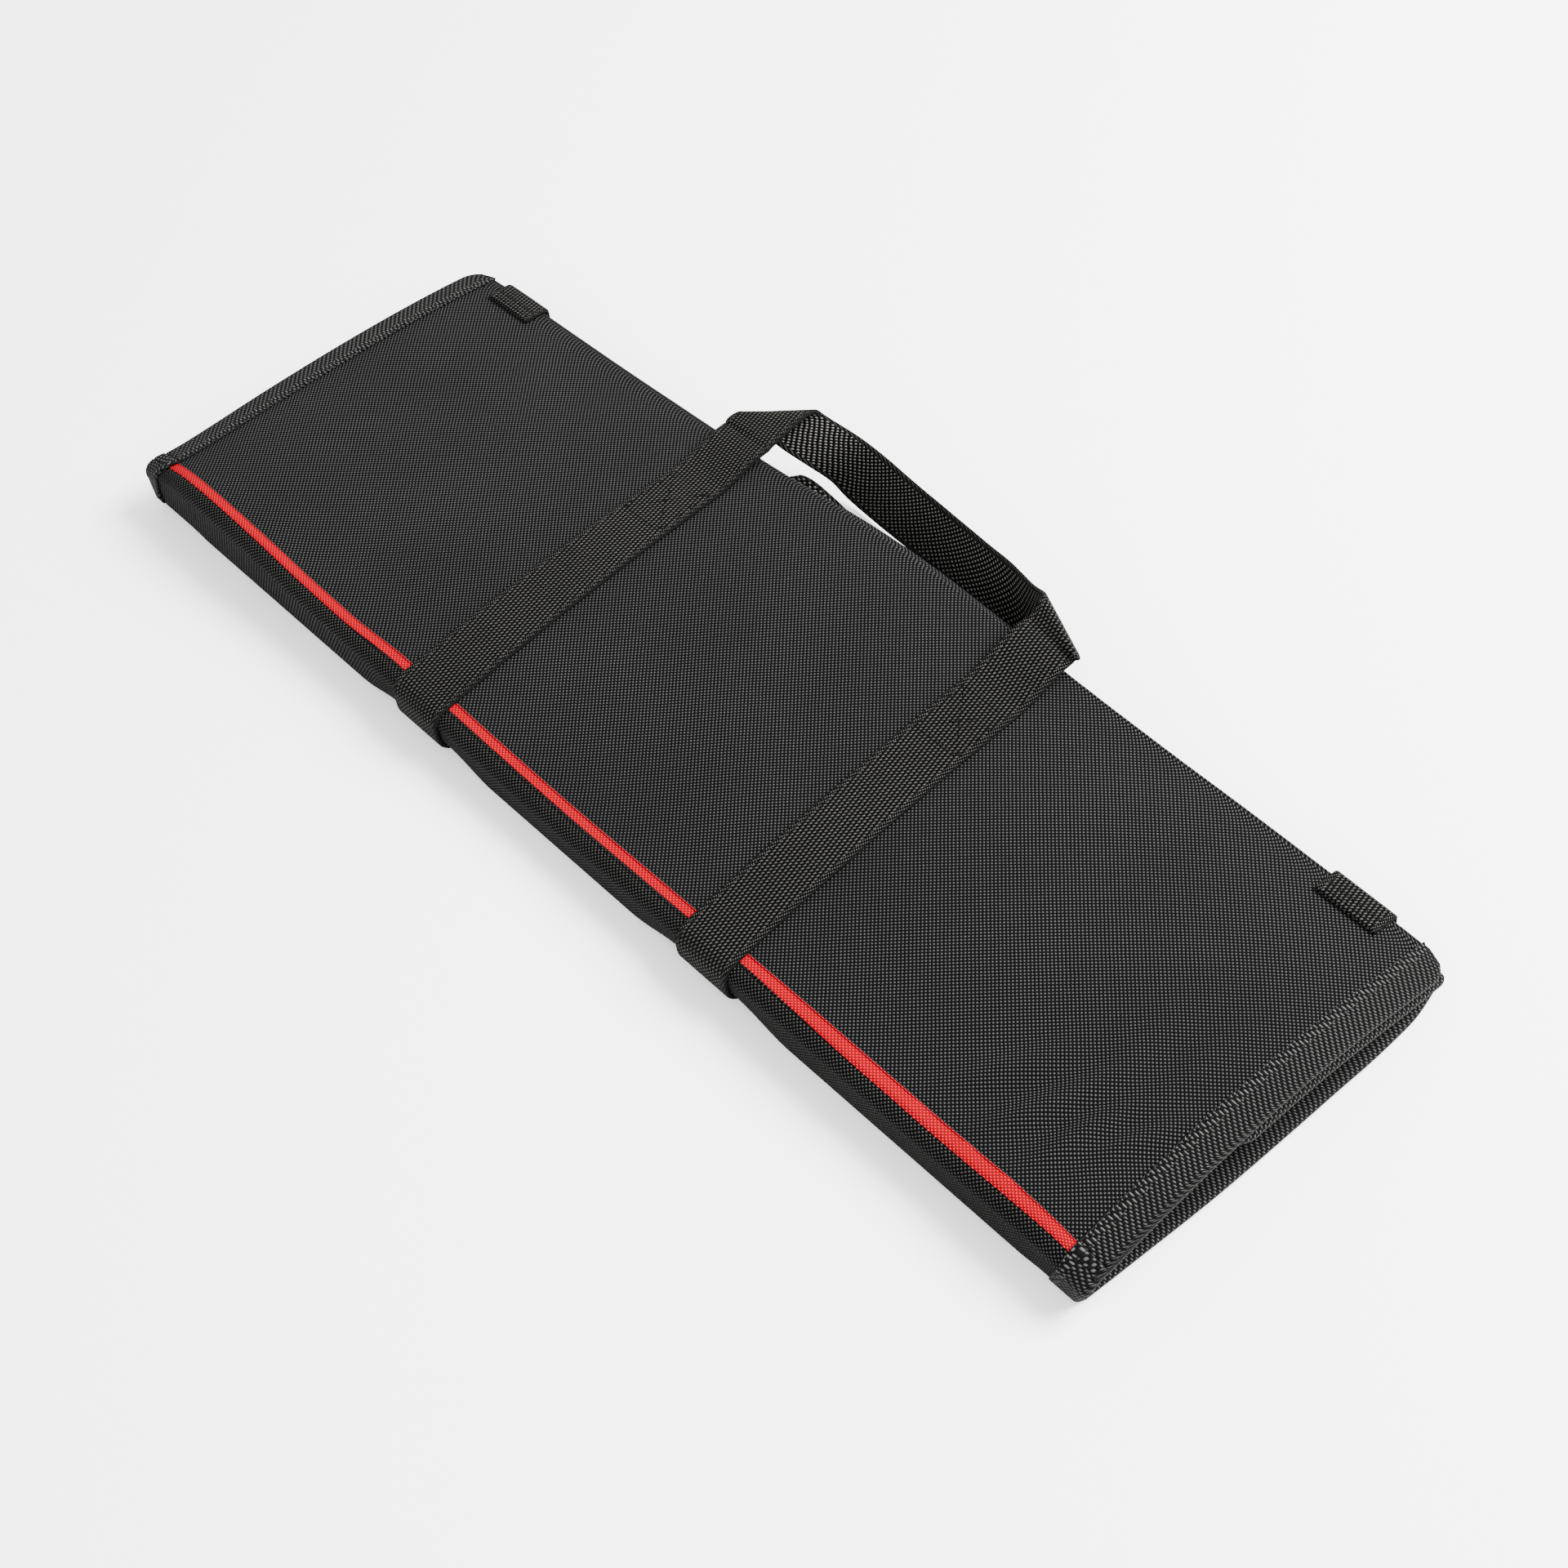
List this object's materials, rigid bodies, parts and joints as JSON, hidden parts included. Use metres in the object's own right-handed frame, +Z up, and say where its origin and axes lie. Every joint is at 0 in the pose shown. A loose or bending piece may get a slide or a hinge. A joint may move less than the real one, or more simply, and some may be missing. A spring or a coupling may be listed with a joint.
{
  "type": "chef knife roll",
  "caption": "Folded cloth chef's knife case with stiff panels, bound ends, red trim along the spine, wrap-round webbing straps with loop handles and closure tabs.",
  "frame": {"origin": "on the surface the case lies on, under the middle of its bounding box", "axes": "+X along the length of the case, +Y from the spine with the red trim to the open back edge and the handles, +Z up through the cover"},
  "size_m": [0.5005, 0.1966, 0.037],
  "materials": {
    "panel_cloth": "plain weave, matt black with pale glints at the crossings",
    "spine_cloth": "fine plain weave, matt black",
    "trim_cloth": "fine red twill, soft sheen",
    "webbing": "coarse black webbing with denser selvedges",
    "ribbon": "ribbed black grosgrain, soft sheen"
  },
  "bodies": {
    "root": {"top_cover": "panel_cloth", "red_trim": "trim_cloth", "spine_strip": "spine_cloth", "base_panel": "panel_cloth", "inner_flap": "panel_cloth", "end_binding_left": "ribbon", "end_binding_right": "ribbon", "strap_left": "webbing", "strap_right": "webbing", "handle_upper": "webbing", "handle_lower": "webbing", "closure_tab_left": "webbing", "closure_tab_right": "webbing"}
  },
  "joints": []
}
